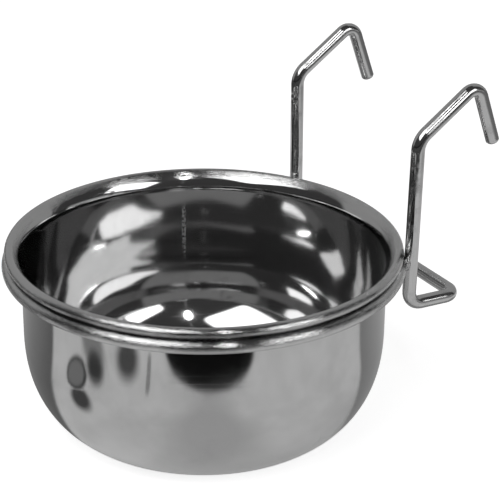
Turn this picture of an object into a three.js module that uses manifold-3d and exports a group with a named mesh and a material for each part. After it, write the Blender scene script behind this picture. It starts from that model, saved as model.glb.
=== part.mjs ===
// Hanging pet bowl: a drawn steel cup that drops into a wire ring, carried by one bent wire whose two
// hooks go over a horizontal cage bar.
// Millimetres, +Z up. +Y points through the cage side, away from the cup, and +X runs along the cage.
// The origin is the middle of the cage bar, midway between the two hooks.

import * as THREE from "three";
import { mergeVertices } from "three/addons/utils/BufferGeometryUtils.js";
import Module from "manifold-3d";

const wasm = await Module();
wasm.setup();

const degree = Math.PI / 180;

// Cup. Heights are taken from the centre of the rolled bead.
const sheetThickness = 0.5;
const wallRadius = 52.9; // outer face of the straight wall
const cupDepth = 56.05; // bead centre down to the underside of the base
const baseRadius = 26.5; // flat of the base
const cornerHeight = 31.6; // height of the drawn corner between base and wall
const cornerPower = 2.27; // 2 would be an ellipse; more is fuller
const beadRadius = 1.56; // outside of the rolled bead
const beadOutset = 3.15; // bead centre, out from the wall's outer face
const lipLean = 50 * degree; // lean of the flared lip where it runs into the bead
const curlGap = 0.35; // gap left between the end of the curl and the lip

// Support ring
const wireDiameter = 4.0;
const ringOutset = 0.35; // ring's centre line, out from the bead's centre line
const seatGap = 0.2; // between the bead and the ring that it rests on

// Hanger wire. Lengths run between the corners that its centre line would have without bends.
const hookSpread = 63.8; // between the two uprights
const uprightSplay = 0.9 * degree; // each upright leans away from the other
const weldSetDown = 0.6; // how far the uprights are pressed into the ring
const shoulderHeight = 33.95;
const armLength = 23.95;
const armRise = 35.5 * degree; // above the horizontal
const tipLength = 19.9;
const tipSpread = 19.8 * degree; // off the vertical
const standOffDepth = 17.25; // bead centre down to the lower bends
const standOffLength = 17.2;
const standOffDroop = 1.9 * degree;
const shoulderBend = 6.0; // bend radii of the centre line
const peakBend = 3.2;
const lowerBend = 4.2;
const cornerBend = 4.2;

// Welds
const weldGap = 0.2; // between a weld and each wire that it joins
const weldReach = 1.5; // half size outward from the cup
const weldSpan = 2.8; // half size across the contact

// Cage bar that the hooks are made for
const cageBarDiameter = 3.0;

// Fineness
const turnSides = 72;
const wireSides = 12;
const cornerSteps = 10;
const lipSteps = 3;
const curlSteps = 12;
const bendSteps = 6;
const weldRings = 10;

// Derived sizes
const wireRadius = wireDiameter / 2;
const beadCentreRadius = wallRadius + beadOutset;
const ringRadius = beadCentreRadius + ringOutset;
const ringDrop = Math.sqrt((beadRadius + wireRadius + seatGap) ** 2 - ringOutset ** 2);
const uprightRadius = ringRadius + wireDiameter - weldSetDown;
const uprightX = hookSpread / 2;
const uprightY = Math.sqrt(uprightRadius ** 2 - uprightX ** 2);
const uprightAzimuth = Math.atan2(uprightX, uprightY);

const steel = (name, color, roughness) =>
  new THREE.MeshStandardMaterial({ name, color, roughness, metalness: 1 });
const cupSteel = steel("cup_steel", 0xc9cacb, 0.08);
const wireSteel = steel("wire_steel", 0xc4c5c6, 0.14);
const weldSteel = steel("weld_steel", 0xa9a9aa, 0.35);

// Closed meshes to solids and back

function toSolid(geometry) {
  const bare = geometry.clone();
  bare.deleteAttribute("normal");
  bare.deleteAttribute("uv");
  const merged = mergeVertices(bare);
  return new wasm.Manifold(
    new wasm.Mesh({
      numProp: 3,
      vertProperties: new Float32Array(merged.attributes.position.array),
      triVerts: new Uint32Array(merged.index.array),
    }),
  );
}

function toGeometry(solid) {
  const { vertProperties, triVerts } = solid.getMesh();
  const geometry = new THREE.BufferGeometry();
  geometry.setAttribute("position", new THREE.BufferAttribute(new Float32Array(vertProperties), 3));
  geometry.setIndex(new THREE.BufferAttribute(new Uint32Array(triVerts), 1));
  geometry.computeVertexNormals();
  return geometry;
}

// Cup

// The middle of the sheet from the base's centre to the end of the curl, each point with the sheet's
// normal on the side that holds the food. That side becomes the outside of the bead.
function sheetMiddle() {
  const half = sheetThickness / 2;
  const curlRadius = beadRadius - half;
  const stations = [];
  const add = (r, z, normalR, normalZ) =>
    stations.push({ point: new THREE.Vector2(r, z), normal: new THREE.Vector2(normalR, normalZ) });

  // Flat base
  add(0, half - cupDepth, 0, 1);
  add(baseRadius, half - cupDepth, 0, 1);

  // Drawn corner: the underside follows a superellipse, from the flat base up to the straight wall
  const cornerWidth = wallRadius - baseRadius;
  for (let i = 1; i <= cornerSteps; i++) {
    const turn = (i / cornerSteps) * (Math.PI / 2);
    const across = Math.sin(turn) ** (2 / cornerPower);
    const down = Math.cos(turn) ** (2 / cornerPower);
    const outward = new THREE.Vector2(
      across ** (cornerPower - 1) / cornerWidth,
      -(down ** (cornerPower - 1)) / cornerHeight,
    ).normalize();
    const r = baseRadius + cornerWidth * across - half * outward.x;
    const z = cornerHeight * (1 - down) - cupDepth - half * outward.y;
    add(r, z, -outward.x, -outward.y);
  }

  // Flared lip: an arc that starts upright and meets the bead at lipLean
  const middleRadius = wallRadius - half;
  const lipRun = beadCentreRadius - curlRadius * Math.cos(lipLean) - middleRadius;
  const lipRadius = lipRun / (1 - Math.cos(lipLean));
  const lipBottom = (curlRadius - lipRadius) * Math.sin(lipLean);
  for (let i = 0; i < lipSteps; i++) {
    const lean = (i / lipSteps) * lipLean;
    add(
      middleRadius + lipRadius * (1 - Math.cos(lean)),
      lipBottom + lipRadius * Math.sin(lean),
      -Math.cos(lean),
      Math.sin(lean),
    );
  }

  // Rolled bead: up over the top, out, down and back in, until it nears the underside of the lip
  const offset = lipRadius - curlRadius;
  const endDistance = lipRadius - sheetThickness - curlGap;
  const openAngle = Math.acos(
    (endDistance ** 2 - offset ** 2 - curlRadius ** 2) / (2 * offset * curlRadius),
  );
  for (let i = 0; i <= curlSteps; i++) {
    const around = Math.PI - lipLean - (i / curlSteps) * (2 * Math.PI - openAngle);
    add(
      beadCentreRadius + curlRadius * Math.cos(around),
      curlRadius * Math.sin(around),
      Math.cos(around),
      Math.sin(around),
    );
  }
  return stations;
}

function cupGeometry() {
  const stations = sheetMiddle();
  const face = (side) =>
    stations.map(({ point, normal }) => point.clone().addScaledVector(normal, (side * sheetThickness) / 2));
  const profile = [...face(-1), ...face(1).reverse()];
  return new THREE.LatheGeometry(profile, turnSides).rotateX(Math.PI / 2);
}

// Bent wire

// A centre line of straight runs joined by round bends. It has a station at each end of each straight run
// and bendSteps stations round each bend, so the sections stay square to the wire.
class BentLine extends THREE.Curve {
  constructor(corners, bends) {
    super();
    this.stations = [];
    const add = (point, tangent) => this.stations.push({ point, tangent });
    const heading = (i) => corners[i + 1].clone().sub(corners[i]).normalize();
    add(corners[0], heading(0));
    bends.forEach((radius, i) => {
      const before = heading(i);
      const after = heading(i + 1);
      const turn = before.angleTo(after);
      const start = corners[i + 1].clone().addScaledVector(before, -radius * Math.tan(turn / 2));
      const inward = after.clone().addScaledVector(before, -before.dot(after)).normalize();
      for (let step = 0; step <= bendSteps; step++) {
        const angle = (step / bendSteps) * turn;
        const point = start.clone();
        point.addScaledVector(before, radius * Math.sin(angle));
        point.addScaledVector(inward, radius * (1 - Math.cos(angle)));
        const tangent = before.clone().multiplyScalar(Math.cos(angle));
        add(point, tangent.addScaledVector(inward, Math.sin(angle)));
      }
    });
    add(corners.at(-1), heading(corners.length - 2));
  }

  station(share) {
    return this.stations[Math.round(share * (this.stations.length - 1))];
  }

  getPointAt(share, target = new THREE.Vector3()) {
    return target.copy(this.station(share).point);
  }

  getTangentAt(share, target = new THREE.Vector3()) {
    return target.copy(this.station(share).tangent);
  }
}

// Round wire whose corners lie on the wire's surface
function wireGeometry(line) {
  const section = new THREE.Shape();
  for (let i = 0; i < wireSides; i++) {
    const angle = (i / wireSides) * 2 * Math.PI;
    const draw = i === 0 ? "moveTo" : "lineTo";
    section[draw](wireRadius * Math.cos(angle), wireRadius * Math.sin(angle));
  }
  const steps = line.stations.length - 1;
  return new THREE.ExtrudeGeometry(section, { steps, extrudePath: line, bevelEnabled: false });
}

// Hanger

// Where an upright's centre line stands at a height, on the +X side
const uprightAt = (z) => new THREE.Vector3(uprightX + z * Math.tan(uprightSplay), uprightY, z);

// Corners of one half of the hanger, from the hook's tip to the middle of the cross bar's corner
function hangerHalf() {
  const shoulder = uprightAt(shoulderHeight);
  const lower = uprightAt(-standOffDepth);
  const go = (from, length, y, z) => new THREE.Vector3(from.x, from.y + length * y, from.z + length * z);
  const peak = go(shoulder, armLength, Math.cos(armRise), Math.sin(armRise));
  const tip = go(peak, tipLength, Math.sin(tipSpread), -Math.cos(tipSpread));
  const corner = go(lower, standOffLength, Math.cos(standOffDroop), -Math.sin(standOffDroop));
  return { tip, peak, shoulder, lower, corner };
}

function hangerGeometry() {
  const { tip, peak, shoulder, lower, corner } = hangerHalf();
  const half = [tip, peak, shoulder, lower, corner];
  const mirrored = half.map((point) => new THREE.Vector3(-point.x, point.y, point.z)).reverse();
  const bends = [peakBend, shoulderBend, lowerBend, cornerBend];
  return wireGeometry(new BentLine([...half, ...mirrored], [...bends, ...bends.toReversed()]));
}

// Where the cage bar's centre lies, seen along the cage: it touches the arm and the tip of each hook
function cageBarCentre() {
  const { tip, peak, shoulder } = hangerHalf();
  const toShoulder = shoulder.clone().sub(peak).setX(0).normalize();
  const toTip = tip.clone().sub(peak).setX(0).normalize();
  const halfAngle = toShoulder.angleTo(toTip) / 2;
  const reach = (wireDiameter + cageBarDiameter) / 2 / Math.sin(halfAngle);
  return new THREE.Vector3(0, peak.y, peak.z).addScaledVector(toShoulder.add(toTip).normalize(), reach);
}

// Ring

const ringOfWire = (clearance) =>
  new THREE.TorusGeometry(ringRadius, wireRadius + clearance, wireSides, turnSides).translate(0, 0, -ringDrop);

// Both uprights where they cross the ring, as straight rods with a clearance all round
function uprightRods(clearance) {
  const length = wireDiameter * 4;
  const rod = (side) =>
    toSolid(
      new THREE.CylinderGeometry(wireRadius + clearance, wireRadius + clearance, length, wireSides * 2)
        .rotateX(Math.PI / 2)
        .rotateY(side * uprightSplay)
        .translate(side * uprightAt(-ringDrop).x, uprightY, -ringDrop),
    );
  return rod(1).add(rod(-1));
}

// The ring, with a shallow saddle where each upright is pressed into it
function ringGeometry() {
  return toGeometry(toSolid(ringOfWire(0)).subtract(uprightRods(weldGap)));
}

// Weld

// A flat lens of weld metal round the contact between ring and upright, less both wires
function weldGeometry(side) {
  const radius = (ringRadius + uprightRadius) / 2;
  const lens = new THREE.SphereGeometry(1, weldRings * 2, weldRings)
    .scale(weldSpan, weldReach, weldSpan)
    .translate(0, radius, -ringDrop)
    .rotateZ(-side * uprightAzimuth);
  return toGeometry(toSolid(lens).subtract(toSolid(ringOfWire(weldGap))).subtract(uprightRods(weldGap)));
}

// Assembly

function mesh(name, geometry, material) {
  const piece = new THREE.Mesh(geometry, material);
  piece.name = name;
  return piece;
}

const cup = mesh("cup", cupGeometry(), cupSteel);

const holder = new THREE.Group();
holder.add(mesh("support_ring", ringGeometry(), wireSteel));
holder.add(mesh("hanger_wire", hangerGeometry(), wireSteel));
holder.add(mesh("weld_right", weldGeometry(1), weldSteel));
holder.add(mesh("weld_left", weldGeometry(-1), weldSteel));

const group = new THREE.Group();
group.add(cup, holder);
group.position.copy(cageBarCentre()).negate();

export default group;
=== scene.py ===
from math import cos, pi, radians, sin, tan

import bpy
import numpy as np
from mathutils import Matrix, Vector


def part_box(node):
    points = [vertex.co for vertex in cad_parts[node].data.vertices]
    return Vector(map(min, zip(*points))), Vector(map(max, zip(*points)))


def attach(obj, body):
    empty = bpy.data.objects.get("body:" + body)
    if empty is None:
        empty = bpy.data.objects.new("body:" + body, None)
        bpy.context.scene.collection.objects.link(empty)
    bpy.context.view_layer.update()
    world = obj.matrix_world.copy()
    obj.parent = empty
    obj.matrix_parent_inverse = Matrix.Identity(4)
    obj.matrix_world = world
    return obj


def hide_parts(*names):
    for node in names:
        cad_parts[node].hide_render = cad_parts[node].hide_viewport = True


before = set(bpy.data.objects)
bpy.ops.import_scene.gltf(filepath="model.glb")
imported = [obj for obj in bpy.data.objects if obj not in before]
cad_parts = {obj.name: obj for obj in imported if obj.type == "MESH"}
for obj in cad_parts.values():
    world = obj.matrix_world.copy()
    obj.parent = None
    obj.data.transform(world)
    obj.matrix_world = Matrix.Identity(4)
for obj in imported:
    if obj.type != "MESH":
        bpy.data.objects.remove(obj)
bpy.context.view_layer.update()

# Sizes of the real bowl, in metres. Places come from the frame's boxes.

SHEET = 0.0005  # thickness of the cup's steel
WALL_RADIUS = 0.0529  # outer face of the straight wall
BASE_RADIUS = 0.0265  # flat of the base
CORNER_HEIGHT = 0.0316  # height of the drawn corner
CORNER_POWER = 2.27  # 2 would be an ellipse; more is fuller
BEAD_RADIUS = 0.00156  # outside of the rolled bead
LIP_LEAN = radians(50)  # lean of the flared lip where it meets the bead
CURL_TURN = radians(318)  # how far the edge is rolled round
UPRIGHT_SPLAY = radians(0.9)
WELD_SET_DOWN = 0.0006  # how far an upright is pressed into the ring
ARM_RISE = radians(35.5)
ARM_LENGTH = 0.02395
TIP_SPREAD = radians(19.8)
TIP_LENGTH = 0.0199
SHOULDER_HEIGHT = 0.03395  # above the bead's centre
STAND_OFF_DEPTH = 0.01725  # below the bead's centre
STAND_OFF_LENGTH = 0.0172
STAND_OFF_DROOP = radians(1.9)
SHOULDER_BEND = 0.006
PEAK_BEND = 0.0032
LOWER_BEND = 0.0042
CORNER_BEND = 0.0042
CUT_EDGE = 0.00035  # round of the wire's cut edge
BEND_FLATTENING = 0.035  # share of the wire's radius
MARK_LENGTH = 0.0003
TOOL_MARKS = (  # length from an end, depth and the side it's on
    (0.0468, 0.00016, (-0.2, -1, 0)),
    (0.0486, 0.00012, (0.3, -1, 0)),
    (-0.0481, 0.00008, (0.2, -1, 0)),
    (0.0192, 0.00010, (0, -0.4, 1)),
    (-0.0190, 0.00008, (0, -0.4, 1)),
)

# How finely the surfaces are divided

CUP_TURNS = 256
BASE_ROWS = 8
CORNER_ROWS = 80
WALL_ROWS = 10
LIP_ROWS = 30
BEAD_ROWS = 65
RING_TURNS = 320
WIRE_SIDES = 48
SECTION_SPACING = 0.0005  # along the hanger
RUN_SECTIONS = 3  # at least, on a straight run
BEND_SECTIONS = 9  # and on a bend
WELD_TURNS = 96
WELD_ROWS = 15

cup_low, cup_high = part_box("cup")
ring_low, ring_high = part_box("support_ring")

AXIS_Y = (cup_low.y + cup_high.y) / 2
RIM_Z = cup_high.z - BEAD_RADIUS  # the bead's middle, from which heights are taken
BEAD_CENTRE_RADIUS = cup_high.x - BEAD_RADIUS
CUP_DEPTH = RIM_Z - cup_low.z
WIRE_RADIUS = (ring_high.z - ring_low.z) / 2
RING_Z = (ring_high.z + ring_low.z) / 2
RING_RADIUS = ring_high.x - WIRE_RADIUS
UPRIGHT_RADIUS = RING_RADIUS + 2 * WIRE_RADIUS - WELD_SET_DOWN
UPRIGHT_X = 0.0319  # of an upright, level with the bead's middle
UPRIGHT_Y = (UPRIGHT_RADIUS**2 - UPRIGHT_X**2) ** 0.5


# Camera, at the photograph's place

CAMERA_AZIMUTH = radians(59.585)  # 0 looks along +Y
CAMERA_PITCH = radians(24.318)
CAMERA_ROLL = radians(0.701)
CAMERA_DISTANCE = 0.51685  # to the middle of the rim, along the view
RIM_RIGHT_OF_VIEW = -0.01316
RIM_ABOVE_VIEW = 0.001304
LENS = 128.72
SENSOR = 36.0

view_right = Vector((cos(CAMERA_AZIMUTH), sin(CAMERA_AZIMUTH), 0))
view_ahead = Vector((-sin(CAMERA_AZIMUTH), cos(CAMERA_AZIMUTH), 0))
up = Vector((0, 0, 1))
rim_centre = Vector((0, AXIS_Y, RIM_Z))


def make_camera():
    """Stands CAMERA_DISTANCE behind the rim's middle, then slides so that the rim sits where it should."""
    forward = view_ahead * cos(CAMERA_PITCH) - up * sin(CAMERA_PITCH)
    upward = view_ahead * sin(CAMERA_PITCH) + up * cos(CAMERA_PITCH)
    right = view_right * cos(CAMERA_ROLL) + upward * sin(CAMERA_ROLL)
    upward = upward * cos(CAMERA_ROLL) - view_right * sin(CAMERA_ROLL)
    place = rim_centre - forward * CAMERA_DISTANCE - right * RIM_RIGHT_OF_VIEW - upward * RIM_ABOVE_VIEW
    data = bpy.data.cameras.new("camera")
    data.lens = LENS
    data.sensor_width = SENSOR
    data.clip_start = 0.01
    camera = bpy.data.objects.new("camera", data)
    turn = Matrix((right, upward, -forward)).transposed().to_4x4()
    camera.matrix_world = Matrix.Translation(place) @ turn
    bpy.context.scene.collection.objects.link(camera)
    bpy.context.scene.camera = camera


# Meshes

def make_mesh(name, points, quads, triangles=None):
    """Points are places in metres; quads and triangles are arrays of corner numbers. All faces are turned
    over if the volume they enclose comes out negative."""
    points = np.asarray(points, float).reshape(-1, 3)
    triangles = np.zeros((0, 3), int) if triangles is None else triangles
    split = np.vstack([triangles, quads[:, :3], quads[:, [0, 2, 3]]])
    a, b, c = (points[split[:, i]] for i in range(3))
    if np.einsum("ij,ij->i", a, np.cross(b, c)).sum() < 0:
        quads, triangles = quads[:, ::-1], triangles[:, ::-1]
    mesh = bpy.data.meshes.new(name)
    mesh.from_pydata(points.tolist(), [], quads.tolist() + triangles.tolist())
    mesh.shade_smooth()
    piece = bpy.data.objects.new(name, mesh)
    bpy.context.scene.collection.objects.link(piece)
    return piece


def grid_quads(rows, columns, wrap_rows, wrap_columns):
    """Quads of a grid numbered row by row, joined end to end where a direction wraps."""
    i, j = np.meshgrid(
        np.arange(rows if wrap_rows else rows - 1),
        np.arange(columns if wrap_columns else columns - 1),
        indexing="ij",
    )
    i2, j2 = (i + 1) % rows, (j + 1) % columns
    corners = (i * columns + j, i * columns + j2, i2 * columns + j2, i2 * columns + j)
    return np.stack([corner.ravel() for corner in corners], axis=1)


def end_fans(rows, columns):
    """Triangles that close the first and last row of a grid on two more points, numbered after it."""
    j = np.arange(columns)
    j2 = (j + 1) % columns
    last = (rows - 1) * columns
    pole = rows * columns + 0 * j
    first_fan = np.stack([pole, j2, j], axis=1)
    last_fan = np.stack([pole + 1, last + j, last + j2], axis=1)
    return np.vstack([first_fan, last_fan])


# Cup

def sheet_middle():
    """The middle of the sheet as rows of radius, height above the bead's middle and the normal on the food
    side: a flat base, a superellipse corner, a straight wall, an arc that flares out, and a bead rolled back
    over it. The superellipse is where (across / width)^power + (down / height)^power = 1."""
    half = SHEET / 2
    curl = BEAD_RADIUS - half
    width = WALL_RADIUS - BASE_RADIUS

    r = np.linspace(0, BASE_RADIUS, BASE_ROWS + 1)[:-1]
    base = np.stack([r, 0 * r + half - CUP_DEPTH, 0 * r, 0 * r + 1], axis=1)

    turn = np.linspace(0, pi / 2, CORNER_ROWS + 1)[1:]
    across = np.sin(turn) ** (2 / CORNER_POWER)
    down = np.clip(np.cos(turn), 0, 1) ** (2 / CORNER_POWER)
    slope = CORNER_POWER - 1
    out = np.stack([across**slope / width, -(down**slope) / CORNER_HEIGHT], axis=1)
    out /= np.linalg.norm(out, axis=1, keepdims=True)
    place = np.stack([BASE_RADIUS + width * across, CORNER_HEIGHT * (1 - down) - CUP_DEPTH], axis=1)
    corner = np.hstack([place - half * out, -out])

    middle = WALL_RADIUS - half
    flare = (BEAD_CENTRE_RADIUS - curl * cos(LIP_LEAN) - middle) / (1 - cos(LIP_LEAN))
    foot = (curl - flare) * sin(LIP_LEAN)
    z = np.linspace(CORNER_HEIGHT - CUP_DEPTH, foot, WALL_ROWS + 2)[1:-1]
    wall = np.stack([0 * z + middle, z, 0 * z - 1, 0 * z], axis=1)

    lean = np.linspace(0, LIP_LEAN, LIP_ROWS + 1)[:-1]
    c, s = np.cos(lean), np.sin(lean)
    lip = np.stack([middle + flare * (1 - c), foot + flare * s, -c, s], axis=1)

    around = pi - LIP_LEAN - np.linspace(0, CURL_TURN, BEAD_ROWS)
    c, s = np.cos(around), np.sin(around)
    bead = np.stack([BEAD_CENTRE_RADIUS + curl * c, curl * s, c, s], axis=1)
    return np.vstack([base, corner, wall, lip, bead])


def make_cup():
    """Both faces of the sheet, half a thickness to each side of its middle, turned round the axis."""
    rows = sheet_middle()
    place, normal = rows[:, :2], rows[:, 2:]
    profile = np.vstack([place - normal * SHEET / 2, (place + normal * SHEET / 2)[::-1]])
    r, z = profile[1:-1, :1], profile[1:-1, 1:]
    angle = np.arange(CUP_TURNS) * 2 * pi / CUP_TURNS
    grid = np.stack([r * np.cos(angle), AXIS_Y + r * np.sin(angle), RIM_Z + z + 0 * angle], axis=-1)
    poles = [[0, AXIS_Y, RIM_Z + profile[0, 1]], [0, AXIS_Y, RIM_Z + profile[-1, 1]]]
    points = np.vstack([grid.reshape(-1, 3), poles])
    quads = grid_quads(len(r), CUP_TURNS, False, True)
    return make_mesh("drawn_cup", points, quads, end_fans(len(r), CUP_TURNS))


# Holder

def make_ring():
    """A circle of wire section carried round a circle of RING_RADIUS."""
    around = np.arange(RING_TURNS)[:, None] * 2 * pi / RING_TURNS
    section = np.arange(WIRE_SIDES)[None, :] * 2 * pi / WIRE_SIDES
    r = RING_RADIUS + WIRE_RADIUS * np.cos(section)
    z = RING_Z + WIRE_RADIUS * np.sin(section) + 0 * around
    points = np.stack([r * np.cos(around), AXIS_Y + r * np.sin(around), z], axis=-1)
    piece = make_mesh("wire_ring", points, grid_quads(RING_TURNS, WIRE_SIDES, True, True))
    straighten(piece, section, np.abs(around - pi) * RING_RADIUS)
    return piece


def straighten(piece, section, along, more=()):
    """Keeps where each point would be on the same wire laid straight, for marks that follow the wire."""
    x = WIRE_RADIUS * np.cos(section) + 0 * along
    y = WIRE_RADIUS * np.sin(section) + 0 * along
    straight = np.stack([x, y, along + 0 * section], axis=-1).reshape(-1, 3)
    straight = np.vstack([straight, *more])
    layer = piece.data.attributes.new("straightened", "FLOAT_VECTOR", "POINT")
    layer.data.foreach_set("vector", straight.astype(np.float32).ravel())


def hanger_corners():
    """Corners of the hanger's centre line, from the tip on -X to the tip on +X."""
    shoulder = Vector((UPRIGHT_X + SHOULDER_HEIGHT * tan(UPRIGHT_SPLAY), UPRIGHT_Y, SHOULDER_HEIGHT))
    lower = Vector((UPRIGHT_X - STAND_OFF_DEPTH * tan(UPRIGHT_SPLAY), UPRIGHT_Y, -STAND_OFF_DEPTH))
    peak = shoulder + ARM_LENGTH * Vector((0, cos(ARM_RISE), sin(ARM_RISE)))
    tip = peak + TIP_LENGTH * Vector((0, sin(TIP_SPREAD), -cos(TIP_SPREAD)))
    corner = lower + STAND_OFF_LENGTH * Vector((0, cos(STAND_OFF_DROOP), -sin(STAND_OFF_DROOP)))
    half = [tip, peak, shoulder, lower, corner]
    mirrored = [Vector((-p.x, p.y, p.z)) for p in half]
    return np.array([p + rim_centre for p in [*mirrored, *reversed(half)]])


def unit(vector):
    return vector / np.linalg.norm(vector)


def turned(vector, hinge, angle):
    """A vector swung round a hinge: what lies across the hinge goes round, and what lies along it stays."""
    along = hinge * (hinge @ vector)
    return vector * np.cos(angle) + np.cross(hinge, vector) * np.sin(angle) + along * (1 - np.cos(angle))


def bent_wire(corners, bends):
    """Straight runs joined by arcs that touch both runs. Gives, for each section, its centre, its heading, a
    direction across it, the length so far, and the direction to the bend's inside times how bent it is."""
    rows = []
    length = 0.0
    start = corners[0]
    heading = unit(corners[1] - corners[0])
    across = unit(np.cross(heading, (1, 0, 0)))

    def add(points, headings, acrosses, alongs, insides):
        count = len(alongs)
        rows.append(np.hstack([
            points, np.broadcast_to(headings, (count, 3)), np.broadcast_to(acrosses, (count, 3)),
            alongs[:, None], np.broadcast_to(insides, (count, 3)),
        ]))

    for i, bend in enumerate([*bends, None]):
        if bend is None:
            end = corners[-1]
        else:
            outbound = unit(corners[i + 2] - corners[i + 1])
            turn = np.arccos(heading @ outbound)
            end = corners[i + 1] - heading * bend * tan(turn / 2)
        run = np.linalg.norm(end - start)
        t = np.linspace(0, run, max(RUN_SECTIONS, int(run / SECTION_SPACING)))[:, None]
        t = t if bend is None else t[:-1]
        add(start + heading * t, heading, across, length + t[:, 0], (0, 0, 0))
        length += run
        if bend is None:
            break
        inside = unit(outbound - heading * (heading @ outbound))
        hinge = np.cross(heading, inside)
        angle = np.linspace(0, turn, max(BEND_SECTIONS, int(turn * bend / SECTION_SPACING)))[:-1, None]
        add(
            end + heading * bend * np.sin(angle) + inside * bend * (1 - np.cos(angle)),
            heading * np.cos(angle) + inside * np.sin(angle),
            turned(across, hinge, angle),
            length + bend * angle[:, 0],
            (inside * np.cos(angle) - heading * np.sin(angle)) * np.sin(pi * angle / turn) ** 0.5,
        )
        length += bend * turn
        start = end + heading * bend * sin(turn) + inside * bend * (1 - cos(turn))
        across = turned(across, hinge, turn)
        heading = outbound
    rows = np.vstack(rows)
    return rows[:, :3], rows[:, 3:6], rows[:, 6:9], rows[:, 9], rows[:, 10:]


def make_hanger():
    """A round section carried square to the bent wire. In a bend it flattens a little towards the inside,
    beside the shoulder bends the bending tool has left shallow marks, and the cut ends are rounded over."""
    half_bends = [PEAK_BEND, SHOULDER_BEND, LOWER_BEND, CORNER_BEND]
    centre, heading, across, along, inside = bent_wire(hanger_corners(), [*half_bends, *reversed(half_bends)])
    other = np.cross(heading, across)
    angle = np.arange(WIRE_SIDES) * 2 * pi / WIRE_SIDES
    spoke = np.cos(angle)[None, :, None] * across[:, None] + np.sin(angle)[None, :, None] * other[:, None]
    bend = np.linalg.norm(inside, axis=1)[:, None]
    inward = np.einsum("ijk,ik->ij", spoke, inside)
    radius = WIRE_RADIUS * (1 - BEND_FLATTENING * inward**2 + 0.5 * BEND_FLATTENING * (bend**2 - inward**2))

    total = along[-1]
    for mark, depth, facing in TOOL_MARKS:
        place = mark if mark > 0 else total + mark
        side = np.clip(spoke @ unit(np.array(facing)), 0, 1) ** 4
        radius = radius - depth * side * np.exp(-(((along[:, None] - place) / MARK_LENGTH) ** 2))

    from_end = np.minimum(along, total - along)[:, None]
    shrink = np.clip(1 - from_end / CUT_EDGE, 0, 1)
    radius = radius - CUT_EDGE * (1 - np.sqrt(np.maximum(1 - shrink**2, 0)))
    grid = centre[:, None] + spoke * radius[..., None]
    rows = len(centre)
    points = np.vstack([grid.reshape(-1, 3), [centre[0]], [centre[-1]]])
    quads = grid_quads(rows, WIRE_SIDES, False, True)
    piece = make_mesh("bent_hanger", points, quads, end_fans(rows, WIRE_SIDES))
    straighten(piece, angle[None, :], along[:, None], [[0, 0, 0], [0, 0, total]])
    return piece


WELD_GAP = 0.0011  # how far apart the wires are where the weld metal ends
WELD_SAG = 0.55  # how far its face sags back, as a share of the way to its root
WELD_HEART = 0.8  # its inner side, as a share of its root
HALVINGS = 40


def make_weld(name, side):
    """A collar round the contact of ring and upright. At each angle round the contact the two wire surfaces
    part as the square root of radius squared less distance squared; the collar runs out to where they are
    WELD_GAP apart, with a face that sags inwards between them."""
    azimuth = side * np.arctan2(UPRIGHT_X, UPRIGHT_Y)
    out = np.array([sin(azimuth), cos(azimuth), 0])
    along = np.array([cos(azimuth), -sin(azimuth), 0])
    rise = np.array([0, 0, 1.0])
    apart = UPRIGHT_RADIUS - RING_RADIUS
    middle = np.array([0, AXIS_Y, RING_Z]) + out * (RING_RADIUS + apart / 2)
    angle = np.arange(WELD_TURNS) * 2 * pi / WELD_TURNS

    def surfaces(reach):
        ring = np.sqrt(np.maximum(WIRE_RADIUS**2 - (reach * np.sin(angle)) ** 2, 0)) - apart / 2
        upright = apart / 2 - np.sqrt(np.maximum(WIRE_RADIUS**2 - (reach * np.cos(angle)) ** 2, 0))
        return ring, upright

    def reach_where(gap):
        low, high = 0 * angle, 0 * angle + 1.4 * WIRE_RADIUS
        for _ in range(HALVINGS):
            reach = (low + high) / 2
            ring, upright = surfaces(reach)
            wide = upright - ring > gap
            low, high = np.where(wide, low, reach), np.where(wide, reach, high)
        return low

    root = reach_where(0)
    edge = reach_where(WELD_GAP)
    ring, upright = surfaces(edge)
    rows = []
    for share in np.linspace(-0.12, 1.12, WELD_ROWS):
        sag = np.clip(4 * share * (1 - share), -0.5, 1)
        rows.append((edge - WELD_SAG * (edge - root) * sag, ring + (upright - ring) * share))
    for side_of_middle in (0.3, -0.3):
        rows.append((WELD_HEART * root, (ring + upright) / 2 + side_of_middle * WELD_GAP))
    grid = [
        middle + (reach * np.cos(angle))[:, None] * along + (reach * np.sin(angle))[:, None] * rise
        + height[:, None] * out
        for reach, height in rows
    ]
    return make_mesh(name, np.stack(grid), grid_quads(len(rows), WELD_TURNS, True, True))


# Materials

class Value:
    """A node's output, on which Python's arithmetic adds Math nodes."""

    def __init__(self, finish, socket):
        self.finish = finish
        self.socket = socket

    def math(self, operation, *others):
        return self.finish.add("ShaderNodeMath", {"operation": operation}, [self, *others])

    def __add__(self, other):
        return self.math("ADD", other)

    def __mul__(self, other):
        return self.math("MULTIPLY", other)

    def __sub__(self, other):
        return self.math("SUBTRACT", other)

    def __rsub__(self, other):
        return (self * -1) + other

    def __truediv__(self, other):
        return self.math("DIVIDE", other)

    def __pow__(self, other):
        return self.math("POWER", other)

    __radd__ = __add__
    __rmul__ = __mul__

    def step(self, low, high):
        """0 below low, 1 above high and smooth between."""
        settings = {"interpolation_type": "SMOOTHSTEP"}
        inputs = {"Value": self, "From Min": low, "From Max": high}
        return self.finish.add("ShaderNodeMapRange", settings, inputs)


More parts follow.
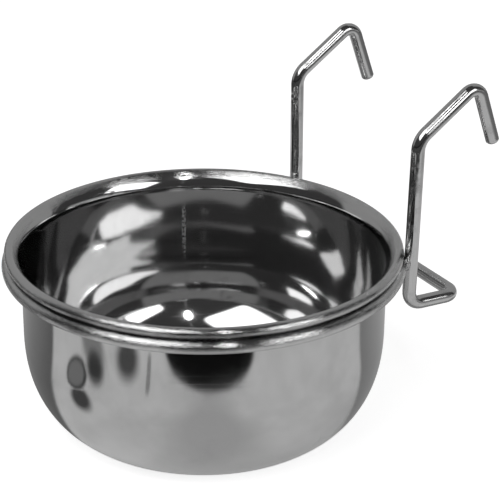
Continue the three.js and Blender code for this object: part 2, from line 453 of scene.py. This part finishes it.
class Finish:
    """A node material or world, and the one method that adds its nodes."""

    def __init__(self, owner):
        self.owner = owner
        owner.use_nodes = True
        self.tree = owner.node_tree
        self.tree.nodes.clear()

    def add(self, kind, settings=None, inputs=None, output=0):
        """Adds a node, sets its settings and then its sockets, and gives one of its outputs."""
        node = self.tree.nodes.new(kind)
        for name, value in (settings or {}).items():
            setattr(node, name, value)
        pairs = inputs.items() if isinstance(inputs, dict) else enumerate(inputs or [])
        for name, value in pairs:
            if isinstance(value, Value):
                self.tree.links.new(value.socket, node.inputs[name])
            else:
                node.inputs[name].default_value = value
        return Value(self, node.outputs[output]) if node.outputs else None

    def split(self, vector):
        """The three parts of a vector."""
        node = self.tree.nodes.new("ShaderNodeSeparateXYZ")
        self.tree.links.new(vector.socket, node.inputs[0])
        return [Value(self, socket) for socket in node.outputs]

    def place(self, centre=(0, 0, 0)):
        """Object coordinates, taken from a centre."""
        coordinates = self.add("ShaderNodeTexCoord", output="Object")
        return self.add("ShaderNodeMapping", {}, {"Vector": coordinates, "Location": [-c for c in centre]})

    def ray(self, kind):
        """1 for a ray of that kind and 0 for others."""
        return self.add("ShaderNodeLightPath", output=f"Is {kind} Ray")

    def noise(self, vector, scale, detail=2.0, roughness=0.5):
        inputs = {"Vector": vector, "Scale": scale, "Detail": detail, "Roughness": roughness}
        return self.add("ShaderNodeTexNoise", {}, inputs)


def grey(level):
    return (level, level, level, 1)


STEEL = 0.62  # what polished stainless gives back
FINE_LINES = 24000  # scale of lines too fine to be seen one by one
SHEET_RELIEF = 0.00009
WIRE_RELIEF = 0.00003

# How far apart heights are compared, in pixels. It's small, so that fine lines tilt light only across
# themselves.
FILTER = 0.02


def mixed(finish, factor, low, high):
    """A grey between two levels."""
    inputs = {"Factor": factor, "A": grey(low), "B": grey(high)}
    return finish.add("ShaderNodeMix", {"data_type": "RGBA"}, inputs, output="Result")


def bumped(finish, height, relief):
    """A normal tilted by a height that's given in shares of the relief."""
    sizes = {"Strength": 1.0, "Distance": relief, "Filter Width": FILTER}
    return finish.add("ShaderNodeBump", {}, {**sizes, "Height": height})


def shown(finish):
    """Joins the shader to the material's output."""
    shader = next(node for node in finish.tree.nodes if node.type in ("BSDF_PRINCIPLED", "EMISSION"))
    finish.add("ShaderNodeOutputMaterial", {}, {"Surface": Value(finish, shader.outputs[0])})
    return finish.owner


def metal(finish, shade, roughness, normal, film=0.0):
    """Bare metal, with a dull film on it where one is given."""
    look = {"Base Color": shade, "Metallic": 1.0, "Roughness": roughness, "Normal": normal}
    finish.add("ShaderNodeBsdfPrincipled", {}, {**look, "Coat Weight": film, "Coat Roughness": 0.5})
    return shown(finish)


# Marks on the cup. Each pair says where a mark starts to fade in or out, and where it's all there or all
# gone. Heights are from the bead's middle, and bearings are in radians round the axis from +X.

SATIN_RADIUS = (WALL_RADIUS + 0.0004, WALL_RADIUS + 0.0012)
SATIN_HEIGHT = (-0.004, -0.003)
# Where painted shade darkens the gap under the bead, between the bead and the ring.
CREVICE_RADIUS = (0.0554, 0.0558)
CREVICE_HEIGHT = (-0.0011, 0.0002)
FOOD_SIDE = (WALL_RADIUS - 0.8 * SHEET, WALL_RADIUS - 0.6 * SHEET)
DRIP_BEARING = 2.764  # where water ran down the wall and dried
DRIP_HALF_WIDTH = (0.0003, 0.0009)
DRIP_FOOT = (-0.031, -0.02)
DRIP_TOP = (-0.012, -0.008)
FILM_BEARING = 1.04  # the side of the wall that has a thin film of water scale
FILM_REACH = (0.6, 1.6)
FILM_FOOT = (-0.026, -0.016)
RING_STRETCH = 0.0004  # metres of noise to a radian, so small means long marks
SATIN_STRETCH = 0.0011


def polished_sheet():
    """Mirror-polished sheet. The polishing wheel leaves fine rings and a few scratches along them, and the
    rim is only satin. The sheet is gently wavy, with faint smears, the specks of a dried drip and a thin dull
    film on one side of the wall. Painted shade darkens the gap under the bead, between the bead and the ring."""
    finish = Finish(bpy.data.materials.new("polished_sheet_steel"))
    place = finish.place(rim_centre)
    x, y, z = finish.split(place)
    radius = (x * x + y * y) ** 0.5
    rim = radius.step(*SATIN_RADIUS) * z.step(*SATIN_HEIGHT)
    crevice_shade = radius.step(*CREVICE_RADIUS) * (1 - z.step(*CREVICE_HEIGHT))

    bearing = y.math("ARCTAN2", x)
    wheel = finish.add("ShaderNodeCombineXYZ", {}, {"X": radius, "Y": bearing * RING_STRETCH, "Z": z})
    rings = finish.noise(wheel, 8000, 1)
    short = finish.add("ShaderNodeCombineXYZ", {}, {"X": radius, "Y": bearing * SATIN_STRETCH, "Z": z})
    satin = finish.noise(short, FINE_LINES, 0)
    scratches = finish.noise(wheel, 2100, 1).step(0.62, 0.72)
    waves = finish.noise(place, 62, 1)
    smear = finish.noise(place, 48, 4, 0.6).step(0.5, 0.75)
    haze = finish.noise(place, 21, 2)
    cloud = finish.noise(place, 120, 3, 0.6)
    off_drip = (bearing - DRIP_BEARING).math("ABSOLUTE") * WALL_RADIUS
    drip = (1 - off_drip.step(*DRIP_HALF_WIDTH)) * z.step(*DRIP_FOOT) * (1 - z.step(*DRIP_TOP))
    inside = 1 - radius.step(*FOOD_SIDE)
    drip = drip * inside * finish.noise(place, 1500, 2).step(0.42, 0.6)
    off_film = (bearing - FILM_BEARING).math("ABSOLUTE")
    film = inside * z.step(*FILM_FOOT) * (haze * 0.8 + 0.4) * (1 - off_film.step(*FILM_REACH))

    # Painted shade: the gap under the bead is darkened most of the way towards STEEL * 0.15.
    shade = mixed(finish, smear * 0.1 + cloud * 0.08 + crevice_shade * 0.85, STEEL, STEEL * 0.15)
    marks = smear * 0.04 + haze * 0.03 + cloud * 0.02 + scratches * 0.03 + rim * 0.03 + drip * 0.4
    roughness = marks + 0.045
    height = waves * 0.75 + satin * rim * 0.24 + rings * 0.005 + scratches * 0.006
    return metal(finish, shade, roughness, bumped(finish, height, SHEET_RELIEF), film)


WIRE_STRETCH = 0.02  # along the wire, which makes the noise into lines


def polished_wire(name, line_depth, dullness):
    """Bright drawn wire: fine lines that follow the wire, small nicks, and patches where the polish is
    dull."""
    finish = Finish(bpy.data.materials.new(name))
    straight = finish.add("ShaderNodeAttribute", {"attribute_name": "straightened"}, output="Vector")
    drawn = finish.add("ShaderNodeMapping", {}, {"Vector": straight, "Scale": (1, 1, WIRE_STRETCH)})
    lines = finish.noise(drawn, FINE_LINES, 0)
    patches = finish.noise(straight, 230, 3, 0.6).step(0.45, 0.7)
    nicks = finish.noise(straight, 1300, 2).step(0.66, 0.74)
    waves = finish.noise(straight, 320, 1)
    shade = mixed(finish, patches * 0.4 + lines * 0.3 + nicks * 0.5, STEEL, STEEL * 0.84)
    roughness = patches * dullness + lines * 0.03 + nicks * 0.08 + 0.06
    height = lines * line_depth + waves * 0.8 - nicks * 0.25
    return metal(finish, shade, roughness, bumped(finish, height, WIRE_RELIEF))


def weld_metal():
    """Weld metal that flowed smooth: bright, softly rippled, a little darker in specks and along its ripples.
    """
    finish = Finish(bpy.data.materials.new("weld_metal"))
    place = finish.place()
    ripples = finish.noise(place, 700, 2)
    specks = finish.noise(place, 2600, 2).step(0.6, 0.72)
    shade = mixed(finish, specks * 0.6 + ripples * 0.3, STEEL, STEEL * 0.6)
    roughness = ripples * 0.12 + specks * 0.15 + 0.12
    return metal(finish, shade, roughness, bumped(finish, ripples, SHEET_RELIEF))


# Studio

FLOOR_COLOUR = 0.82
FLOOR_GAP = 0.0002  # under the cup
FLOOR_LIFT = 0.74  # what the camera sees on top of the floor's own light
STEEL_LIFT = 0.19  # and what steel and glass see
LIT_FRONT = 0.17  # how far the lit floor reaches from the cup's axis, in metres
LIT_LEFT = 0.15
LIT_RIGHT = 0.18
LIT_EDGE = 0.02

# Levels of light, with 1 as white

LEFT_BOX = 2.3
RIGHT_BOX = 2.6
SPOT = 15.0
SPOT_GLOW = 0.1
SPOT_RAY = 0.5
LOW_GLOW = 0.4
WALL = 0.34  # the grey wall behind the bowl
DRAPE = 0.052  # the dark rest of the room

SPOT_PLACE = (164.4, 43)  # azimuth and elevation in degrees
BOX_DISTANCE = 2.4
ROOM_RADIUS = 2.8
ROOM_ROWS = 24
ROOM_TURNS = 72
WALL_LEFT = radians(-83)
WALL_RIGHT = radians(69)
WALL_TOP = radians(66)
WALL_EDGE = radians(3)


def towards(azimuth, elevation):
    """A direction from the bowl: azimuth in degrees from straight behind it, to the right as the camera
    sees it, and elevation above the rim."""
    a, e = radians(azimuth), radians(elevation)
    return (view_ahead * cos(a) + view_right * sin(a)) * cos(e) + up * sin(e)


def studio_piece(name, points, faces, material, turn=None):
    """Part of the studio, which the steel sees and the camera doesn't."""
    mesh = bpy.data.meshes.new(name)
    mesh.from_pydata(np.asarray(points, float).reshape(-1, 3).tolist(), [], np.asarray(faces).tolist())
    mesh.materials.append(material)
    piece = bpy.data.objects.new(name, mesh)
    bpy.context.scene.collection.objects.link(piece)
    piece.matrix_world = turn or Matrix()
    piece.visible_camera = False
    return piece


def make_panel(name, middle, across, upward, level, far_level=None, power=6.0, softness=0.04):
    """A flat panel whose half sides are across and upward. It glows inside the line |x|^power + |y|^power = 1
    and fades out over the softness. Its level changes from one end of upward to the other."""
    finish = Finish(bpy.data.materials.new(name))
    x, y = finish.split(finish.place())[:2]
    edge = (x.math("ABSOLUTE") ** power + y.math("ABSOLUTE") ** power) ** (1 / power)
    glow = (y * 0.5 + 0.5) * ((far_level or level) - level) + level
    lamp = finish.add("ShaderNodeEmission", {}, {"Color": grey(1), "Strength": glow})
    clear = finish.add("ShaderNodeBsdfTransparent")
    mask = edge.step(1 - softness, 1 + softness)
    both = finish.add("ShaderNodeMixShader", {}, [mask, lamp, clear])
    finish.add("ShaderNodeOutputMaterial", {}, {"Surface": both})
    reach = 1 + softness
    square = [[-reach, -reach, 0], [reach, -reach, 0], [reach, reach, 0], [-reach, reach, 0]]
    turn = Matrix((across, upward, across.cross(upward).normalized())).transposed().to_4x4()
    return studio_piece(name, square, [[0, 1, 2, 3]], finish.owner, Matrix.Translation(middle) @ turn)


def make_lamp(
    name, azimuth, elevation, half_width, half_height, turn, level, power=6.0, softness=0.04, behind=0.0
):
    """A panel that faces the bowl, behind the usual distance by the metres given. Its half sizes and its turn
    are angles in degrees."""
    facing = towards(azimuth, elevation)
    right = towards(azimuth + 90, 0)
    rise = facing.cross(right) * -1
    t = radians(turn)
    distance = BOX_DISTANCE + behind
    across = (right * cos(t) + rise * sin(t)) * distance * tan(radians(half_width))
    upward = (rise * cos(t) - right * sin(t)) * distance * tan(radians(half_height))
    middle = rim_centre + facing * distance
    make_panel(name, middle, across, upward, level, power=power, softness=softness)


def make_floor_card(name, middle, across, upward, level, far_level=None, power=2.0, softness=0.15, lift=0.0):
    """A card that lies on the floor and shows only in the steel. Places and half sides are to the right of
    the cup's axis and ahead of it, and its lift is over the other cards, all in millimetres."""
    def on_floor(pair):
        return (view_right * pair[0] + view_ahead * pair[1]) / 1000

    place = Vector((0, AXIS_Y, cup_low.z + lift / 1000)) + on_floor(middle)
    card = make_panel(name, place, on_floor(across), on_floor(upward), level, far_level, power, softness)
    card.visible_shadow = False
    card.visible_diffuse = False
    card.data.materials[0].cycles.emission_sampling = "NONE"


def make_room():
    """A dome round the bowl, with a grey wall behind the bowl and dark drapes elsewhere."""
    finish = Finish(bpy.data.materials.new("room"))
    x, y, z = finish.split(finish.place())
    azimuth = x.math("ARCTAN2", y)
    elevation = (z / ROOM_RADIUS).math("ARCSINE")
    wall = (
        azimuth.step(WALL_LEFT - WALL_EDGE, WALL_LEFT + WALL_EDGE)
        * (1 - azimuth.step(WALL_RIGHT - WALL_EDGE, WALL_RIGHT + WALL_EDGE))
        * (1 - elevation.step(WALL_TOP - WALL_EDGE, WALL_TOP + WALL_EDGE))
    )
    glow = wall * (WALL - DRAPE) + DRAPE * (elevation.step(radians(1), radians(9)) * 0.6 + 0.4)
    finish.add("ShaderNodeEmission", {}, {"Color": grey(1), "Strength": glow})
    across = np.radians(np.linspace(-180, 180, ROOM_TURNS + 1))[:-1]
    rise = np.radians(np.linspace(-3, 89, ROOM_ROWS))[:, None]
    points = ROOM_RADIUS * np.stack(
        [np.cos(rise) * np.sin(across), np.cos(rise) * np.cos(across), np.sin(rise) + 0 * across], axis=-1
    )
    turn = Matrix((view_right, view_ahead, up)).transposed().to_4x4()
    faces = grid_quads(ROOM_ROWS, ROOM_TURNS, False, True)
    room = studio_piece("room", points, faces, shown(finish), Matrix.Translation(rim_centre) @ turn)
    room.data.materials[0].cycles.emission_sampling = "NONE"


def make_floor():
    """A pale floor just under the cup. The camera sees it lifted to white, and the shadow stays. Steel and
    glass see it lifted a little, clouded, darker to the right, and dark further to the front and the left,
    where the lamps don't reach."""
    z = cup_low.z - FLOOR_GAP
    r = ROOM_RADIUS
    points = [[-r, AXIS_Y - r, z], [r, AXIS_Y - r, z], [r, AXIS_Y + r, z], [-r, AXIS_Y + r, z]]
    mesh = bpy.data.meshes.new("floor")
    mesh.from_pydata(points, [], [[0, 1, 2, 3]])
    floor = bpy.data.objects.new("floor", mesh)
    bpy.context.scene.collection.objects.link(floor)
    finish = Finish(bpy.data.materials.new("pale_floor"))
    seen = finish.ray("Camera")
    mirrored = finish.ray("Glossy") + finish.ray("Transmission")
    place = finish.place((0, AXIS_Y, z))
    x, y = finish.split(place)[:2]
    right = x * view_right.x + y * view_right.y
    ahead = x * view_ahead.x + y * view_ahead.y
    lit = 1 - (ahead * -1).step(LIT_FRONT, LIT_FRONT + LIT_EDGE)
    lit = lit * (1 - (right * -1).step(LIT_LEFT, LIT_LEFT + LIT_EDGE))
    lit = lit * (1 - right.step(LIT_RIGHT, LIT_RIGHT * 2) * 0.75)
    cloud = finish.noise(place, 38, 2).step(0.34, 0.66)
    shade = mixed(finish, mirrored * (cloud * 0.12 + (1 - lit) * 0.85), FLOOR_COLOUR, 0.0)
    lift = seen * FLOOR_LIFT + mirrored * lit * STEEL_LIFT
    look = {"Base Color": shade, "Roughness": 0.9, "Emission Color": grey(1), "Emission Strength": lift}
    finish.add("ShaderNodeBsdfPrincipled", {}, look)
    mesh.materials.append(shown(finish))


def make_world():
    """White where the camera, a reflection or glass looks past the studio."""
    finish = Finish(bpy.data.worlds.new("white"))
    seen = finish.ray("Camera") + finish.ray("Glossy") + finish.ray("Transmission")
    white = finish.add("ShaderNodeBackground", {}, {"Color": grey(1), "Strength": seen})
    finish.add("ShaderNodeOutputWorld", {}, {"Surface": white})
    bpy.context.scene.world = finish.owner


def make_studio():
    make_floor()
    make_world()
    make_room()
    make_lamp("soft_box_left", 219.8, 50.0, 22.6, 19.7, 25, LEFT_BOX)
    make_lamp("soft_box_right", 128.4, 24.2, 15.2, 12.6, -17, RIGHT_BOX)
    make_lamp("spot", *SPOT_PLACE, 2.1, 6.4, 0, SPOT, power=2.0, softness=0.2)
    make_lamp("spot_glow", *SPOT_PLACE, 5, 11, 0, SPOT_GLOW, power=2.0, softness=0.6, behind=0.05)
    make_lamp("spot_upright_ray", *SPOT_PLACE, 0.25, 30, 0, SPOT_RAY, power=2.0, softness=0.9, behind=0.1)
    make_lamp("spot_level_ray", *SPOT_PLACE, 7, 0.5, 0, SPOT_RAY, power=2.0, softness=0.9, behind=0.15)
    make_lamp("low_right_glow", 104, 2, 26, 7, 0, LOW_GLOW, power=4.0, softness=0.4, behind=0.2)
    make_floor_card("front_card", (10, -148), (58, 4), (-5, 28), 0.005, power=2.7, softness=0.05)
    make_floor_card("front_shade", (6, -82), (24, 0), (0, 42), 0.44, softness=0.5, lift=-0.1)
    # The next three cards are painted shadow: the cup's shadow on the floor behind it, as the steel sees it,
    # darkest towards the cup.
    make_floor_card("left_back_shadow", (-79, 32), (52, -8), (7, 46), 0.13, 0.34, power=12.0, softness=0.06)
    make_floor_card("right_back_shadow", (76, 46), (48, 17), (-14, 48), 0.24, 0.46, power=12.0, softness=0.06)
    make_floor_card("shade_behind", (0, 62), (70, 0), (0, 70), 0.09, 0.16, power=4.0, softness=0.3, lift=-0.1)
    make_floor_card("left_spot_1", (-100, -46), (12, 0), (0, 13), 0.05)
    make_floor_card("left_spot_1_middle", (-99, -45), (9, 0), (0, 10), 0.2, lift=0.5)
    make_floor_card("left_spot_2", (-78, -45), (16, 1), (0, 9), 0.07, softness=0.35)
    make_floor_card("left_spot_3", (-118, -72), (26, -5), (2, 13), 0.25, softness=0.3)
    make_floor_card("left_spot_3_core", (-97, -69), (12, -1), (1, 9), 0.05, softness=0.4, lift=0.5)
    make_floor_card("left_spot_4", (-81, -107), (14, 2), (-2, 13), 0.08, softness=0.45)
    make_floor_card("left_line", (-55, -115), (2, -1), (5, 12), 0.28, power=4.0, softness=0.2)


# Assembly

make_camera()
cup_steel = polished_sheet()
ring_steel = polished_wire("rolled_wire_steel", 0.75, 0.02)
hanger_steel = polished_wire("bent_wire_steel", 0.02, 0.2)
weld_steel = weld_metal()

for piece, body, node, slot, material in (
    (make_cup(), "cup", "cup", "cup_steel", cup_steel),
    (make_ring(), "holder", "support_ring", "wire_steel", ring_steel),
    (make_hanger(), "holder", "hanger_wire", "wire_steel", hanger_steel),
    (make_weld("weld_collar_right", 1), "holder", "weld_right", "weld_steel", weld_steel),
    (make_weld("weld_collar_left", -1), "holder", "weld_left", "weld_steel", weld_steel),
):
    piece.data.materials.append(material)
    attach(piece, body)
    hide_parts(node)

make_studio()

bpy.context.scene.view_settings.view_transform = "Standard"
